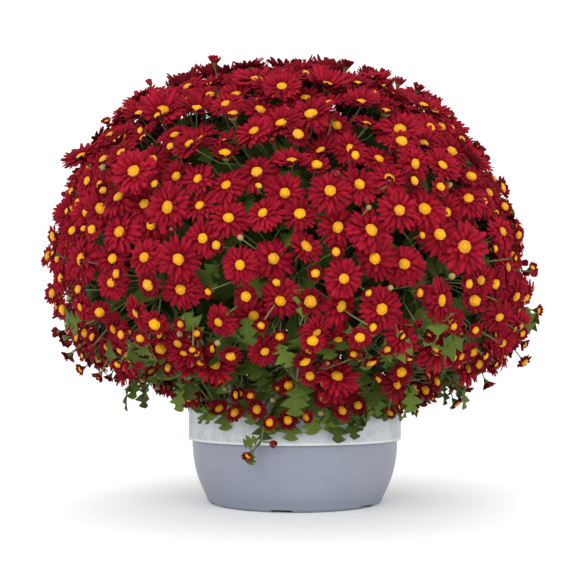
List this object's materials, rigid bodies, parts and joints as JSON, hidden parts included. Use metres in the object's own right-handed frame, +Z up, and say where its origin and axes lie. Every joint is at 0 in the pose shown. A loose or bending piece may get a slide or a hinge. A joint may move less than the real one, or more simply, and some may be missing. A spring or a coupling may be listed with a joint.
{
  "type": "pot chrysanthemum",
  "caption": "Garden chrysanthemum in a round plastic pan: a wide dome of dark red blooms with golden discs, with lobed leaves drooping over the pale rim band.",
  "frame": {"origin": "on the surface that the pot stands on, at the pot's axis, which is near the middle of the plant's own box", "axes": "+Z up, along the pot's axis; -Y towards the viewer of the picture and +X to the viewer's right"},
  "size_m": [0.6015, 0.6053, 0.5377],
  "materials": {
    "pot": "satin grey moulded plastic, with a paler weathered band round the rim",
    "soil": "damp dark potting mix of peat and bark",
    "petals": "velvety dark crimson petals round golden discs",
    "foliage": "matte mid-green lobed leaves and pale green stems"
  },
  "bodies": {
    "root": {"pot": "pot", "soil": "soil", "spray_01": "petals", "spray_02": "petals", "spray_03": "petals", "spray_04": "petals", "spray_05": "petals", "spray_06": "petals", "spray_07": "petals", "spray_08": "petals", "spray_09": "petals", "spray_10": "petals", "spray_11": "petals", "spray_12": "petals", "spray_13": "petals", "spray_14": "petals", "spray_15": "petals", "spray_16": "petals", "spray_17": "petals", "spray_18": "petals", "spray_19": "petals", "spray_20": "petals", "spray_21": "petals", "spray_22": "petals", "spray_23": "petals", "spray_24": "petals", "leafy_shoot_01": "foliage", "leafy_shoot_02": "foliage", "leafy_shoot_03": "foliage", "leafy_shoot_04": "foliage", "leafy_shoot_05": "foliage", "leafy_shoot_06": "foliage", "leafy_shoot_07": "foliage", "leafy_shoot_08": "foliage", "leafy_shoot_09": "foliage", "leafy_shoot_10": "foliage"}
  },
  "joints": []
}
